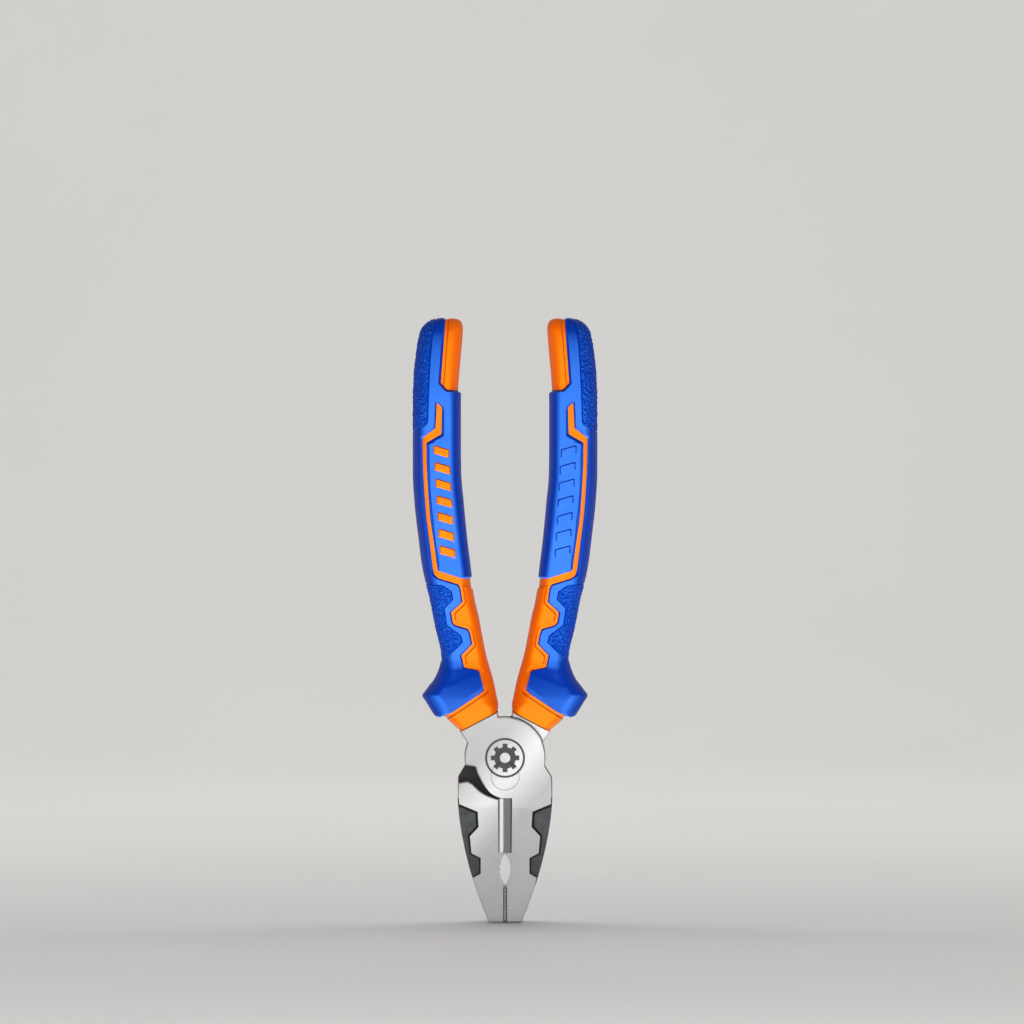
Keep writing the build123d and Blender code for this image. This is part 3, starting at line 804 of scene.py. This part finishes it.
def cutting_bevel(name):
    """Honed steel of the cutting edges with painted light: a bright and a grey strip as lit and
    shaded bevels, and painted dark lines along the parting line and the edges; its shading normal
    turned to face straight out front or back.
    """
    shader = Shader(name)
    scratches = shader.noise(1500.0, 2.0, stretch=(12.0, 12.0, 1.0))
    x, y, _ = shader.split(shader.where)
    wear = shader.math("MULTIPLY", shader.math("SUBTRACT", scratches, 0.5), 0.0001)
    place = shader.math("ADD", x, wear)
    colour = (0.28, 0.285, 0.28, 1)
    # painted light and shade, strip by strip
    for start, end, level in PAINTED_LIGHT_STRIPS:
        inside = shader.math("MULTIPLY", shader.math("GREATER_THAN", place, start * MM),
                             shader.math("LESS_THAN", place, end * MM))
        colour = shader.mix(inside, colour, (level, level, level, 1))
    forward = shader.node("ShaderNodeCombineXYZ")
    shader.feed(forward.inputs["Y"], shader.math("SIGN", y))
    normal = shader.bump(scratches, 0.1, 0.00002, below=forward.outputs[0])
    shader.surface.inputs["Metallic"].default_value = 1.0
    shader.surface.inputs["Roughness"].default_value = 0.33
    return shader.set(Base_Color=colour, Normal=normal)


steel = ground_steel("ground_steel")
recess = blackened_finish("recess_floor", srgb(62, 65, 67), srgb(84, 88, 90))
blade_bevel_painted_light = cutting_bevel("blade_bevel_painted_light")
# darker copy of the dark finish: painted shade on the recess walls, lap faces and disc seat
dark_finish_painted_shade = blackened_finish("dark_finish_painted_shade", srgb(24, 24, 25), srgb(36, 36, 37))

steel_finishes = [steel, recess, dark_finish_painted_shade, blade_bevel_painted_light]

for node_name in ("front_lever", "rear_lever", "pivot_rivet"):
    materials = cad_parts[node_name].data.materials
    materials.clear()
    for finish in steel_finishes:
        materials.append(finish)


# Where the levers' dark finish, painted shade and painted light strips are, in millimetres
HEAD_HALF_THICKNESS = 5.75
TIP_THINNING = 1.0
TAPER_TOP = 38.0
BELOW_FACE = 0.08
CHEEK_RECESS_OUT = 7.2
CHEEK_RECESS_UP = (13.8, 40.8)
LAP_HALF_DEPTH = 1.0
LAP_BOTTOM = 41.5
BLADE_HALF_WIDTH = 2.4
BLADE_UP = (23.3, 41.0)
DISC_UP = 54.5
DISC_SEAT_RADII = (13.0, 14.2)
DISC_SEAT_BACK = 5.0


def between(value, limits):
    low, high = limits
    return low < value < high


def paint_recesses(node):
    """Gives a lever's recess floors their dark finish, paints shade on the recess walls, lap
    surfaces and disc seat, and gives the blades their painted light strips.
    """
    for face in node.data.polygons:
        middle, lean = face.center / MM, abs(face.normal.y)
        surface = HEAD_HALF_THICKNESS - TIP_THINNING * max(0.0, 1 - middle.z / TAPER_TOP)
        sunk = surface - abs(middle.y) > BELOW_FACE
        from_disc = math.hypot(middle.x, middle.z - DISC_UP)
        in_cheek = sunk and abs(middle.x) > CHEEK_RECESS_OUT and between(middle.z, CHEEK_RECESS_UP)
        on_lap = abs(middle.y) < LAP_HALF_DEPTH and lean > 0.5 and middle.z > LAP_BOTTOM
        on_blade = sunk and abs(middle.x) < BLADE_HALF_WIDTH and between(middle.z, BLADE_UP)
        on_seat = between(from_disc, DISC_SEAT_RADII) and lean < 0.3 and middle.y < DISC_SEAT_BACK
        if in_cheek and lean > 0.9:
            face.material_index = steel_finishes.index(recess)
        # painted shade: recess walls, and the lap faces seen between the levers
        elif (in_cheek and lean > 0.5) or on_lap:
            face.material_index = steel_finishes.index(dark_finish_painted_shade)
        elif on_blade:
            face.material_index = steel_finishes.index(blade_bevel_painted_light)
        # painted shade along the disc's seat, at the arc where the levers meet
        elif on_seat:
            face.material_index = steel_finishes.index(dark_finish_painted_shade)


paint_recesses(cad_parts["front_lever"])
paint_recesses(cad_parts["rear_lever"])

# ---------------------------------------------------------------------------------------------
# Grips
# ---------------------------------------------------------------------------------------------

skin = Skin()
for crease_field, crease_level in CREASES:
    skin.cut(crease_field, crease_level)
skin.close_seam()
region_names = grip_regions(skin)

pieces = {"body": body_solid(skin, region_names)}
for piece_name, piece_depth in SHELL_DEPTH.items():
    piece_places, piece_triangles = skin.places, skin.triangles[region_names == piece_name]
    if piece_name.endswith("pad"):
        piece_places, piece_triangles = finer(piece_places, piece_triangles)
    piece_base = skin_points(piece_places)
    piece_heights = relief(piece_base[:, [0, 2]], facing(skin_normals(piece_places)))
    if piece_name.endswith("pad"):
        pad = thumb_field if piece_name == "thumb_pad" else finger_field
        fade = np.clip((-pad(piece_base[:, [0, 2]]) - 2 * GROOVE_HALF) / GRAIN_FADE, 0, 1)
        piece_heights += fade * (grain(piece_base) - GRAIN_SINK)
    pieces[piece_name] = shell(piece_places, piece_triangles, piece_heights, piece_depth)

# painted shade in the hollows of the pads' grain: its share at mean height, and how fast it
# darkens deeper down
PAD_TONE = 0.5
PAD_HOLLOW_SHADE = 2.2              # how much darker the hollows of the pads' grain are
PIECE_NODES = {"body": "grip_body", "overmould": "grip_overmould", "end_panel": "end_panel",
               "thumb_pad": "thumb_pad", "finger_pad": "finger_pad", "inlay": "grip_inlay"}
PIECE_MATERIALS = {"body": blue_rubber, "overmould": orange_rubber, "end_panel": orange_rubber,
                   "thumb_pad": textured_rubber, "finger_pad": textured_rubber,
                   "inlay": orange_rubber}
for piece_name, (points, triangles) in pieces.items():
    centres = points[triangles][:, :, 3:].mean(axis=1)
    # painted shade per face: in the pads' grain hollows, and on the relief's walls that don't face
    # down
    if piece_name.endswith("pad"):
        painted_shade_share = np.clip(PAD_TONE - PAD_HOLLOW_SHADE * grain(centres) / GRAIN_HEIGHT, 0, 1)
    else:
        painted_shade_share = wall_shade_share(centres[:, [0, 2]])
    for hand, turned in (("left", False), ("right", True)):
        node_name = f"{hand}_{PIECE_NODES[piece_name]}"
        piece = add_mesh(f"{node_name}_skin", points, triangles, painted_shade_share, turned)
        piece.data.materials.append(PIECE_MATERIALS[piece_name])
        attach(piece, f"{hand}_half")
        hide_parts(node_name)

core_material = moulded_rubber("core_plastic", srgb(48, 48, 50), srgb(40, 40, 42), 0.1)
for hand in ("left", "right"):
    core_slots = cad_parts[f"{hand}_grip_core"].data.materials
    core_slots.clear()
    core_slots.append(core_material)

# ---------------------------------------------------------------------------------------------
# Floor, lights and camera
# ---------------------------------------------------------------------------------------------

def pale_floor():
    """A plain pale sweep: a floor that turns up into a backdrop behind the tool."""
    width, front, back, radius, top, turns = 9.0, -9.0, 1.6, 0.6, 2.4, 12
    profile = [(front, 0.0), (back - radius, 0.0)]
    for turn in range(1, turns + 1):
        angle = math.pi / 2 * turn / turns
        y = back - radius + radius * math.sin(angle)
        profile.append((y, radius - radius * math.cos(angle)))
    profile.append((back, top))
    vertices = [(side * width, y, z) for y, z in profile for side in (-1, 1)]
    faces = [(2 * i, 2 * i + 1, 2 * i + 3, 2 * i + 2) for i in range(len(profile) - 1)]
    mesh = bpy.data.meshes.new("floor")
    mesh.from_pydata(vertices, [], faces)
    mesh.shade_smooth()
    floor = bpy.data.objects.new("floor", mesh)
    bpy.context.scene.collection.objects.link(floor)
    shader = Shader("pale_floor")
    tone = shader.mix(shader.noise(6.0, 3.0), (0.74, 0.73, 0.71, 1), (0.78, 0.77, 0.75, 1))
    shader.surface.inputs["Roughness"].default_value = 0.7
    mesh.materials.append(shader.set(Base_Color=tone))


def soft_light(name, place, aim, size, radiance, spread=180, glossy=True):
    """A rectangular soft light, seen only by what it lights."""
    data = bpy.data.lights.new(name, "AREA")
    data.shape = "RECTANGLE"
    data.size, data.size_y = size
    data.energy = radiance * math.pi * size[0] * size[1]
    data.spread = math.radians(spread)
    light = bpy.data.objects.new(name, data)
    light.location = place
    light.rotation_euler = (Vector(aim) - Vector(place)).to_track_quat("-Z", "Y").to_euler()
    light.visible_camera = False
    light.visible_glossy = glossy
    bpy.context.scene.collection.objects.link(light)


pale_floor()
TOOL_MIDDLE = (0, 0, 0.1)
soft_light("low_panel", (0.0, -0.26, 0.004), (0.0, -0.26, 1.0), (0.26, 0.3), 6.6, glossy=False)
soft_light("front", (0.3, -1.6, 0.2), TOOL_MIDDLE, (1.2, 0.38), 1.75)
soft_light("side", (0.75, -0.6, 0.12), TOOL_MIDDLE, (0.3, 0.24), 1.6)
soft_light("floor_wash", (0.0, -0.95, 1.0), (0, -0.95, 0), (2.4, 0.8), 1.35, 80)
soft_light("overhead", (-0.2, 0.35, 1.3), (-0.2, 0.35, 0), (2.4, 1.2), 0.7)
soft_light("backdrop_wash", (0.0, 0.55, 1.2), (0, 1.2, 0.1), (2.6, 0.5), 3.2)
soft_light("rim_left", (-0.5, 0.22, 0.14), TOOL_MIDDLE, (0.12, 0.5), 1.5)
soft_light("rim_right", (0.5, 0.22, 0.14), TOOL_MIDDLE, (0.12, 0.5), 1.5)

world = bpy.data.worlds.new("studio")
world.use_nodes = True
world.node_tree.nodes["Background"].inputs["Color"].default_value = (0.80, 0.82, 0.85, 1)
world.node_tree.nodes["Background"].inputs["Strength"].default_value = 0.12
bpy.context.scene.world = world
bpy.context.scene.view_settings.view_transform = "Standard"

CAMERA_DISTANCE = 1.7
VIEW_WIDTH = 0.3393
VIEW_MIDDLE = (0.0023, 0.1357)
SENSOR = 36.0
camera_data = bpy.data.cameras.new("camera")
camera_data.sensor_width = SENSOR
camera_data.lens = SENSOR * CAMERA_DISTANCE / VIEW_WIDTH
camera = bpy.data.objects.new("camera", camera_data)
camera.location = (VIEW_MIDDLE[0], -CAMERA_DISTANCE, VIEW_MIDDLE[1])
camera.rotation_euler = (math.pi / 2, 0, 0)
bpy.context.scene.collection.objects.link(camera)
bpy.context.scene.camera = camera
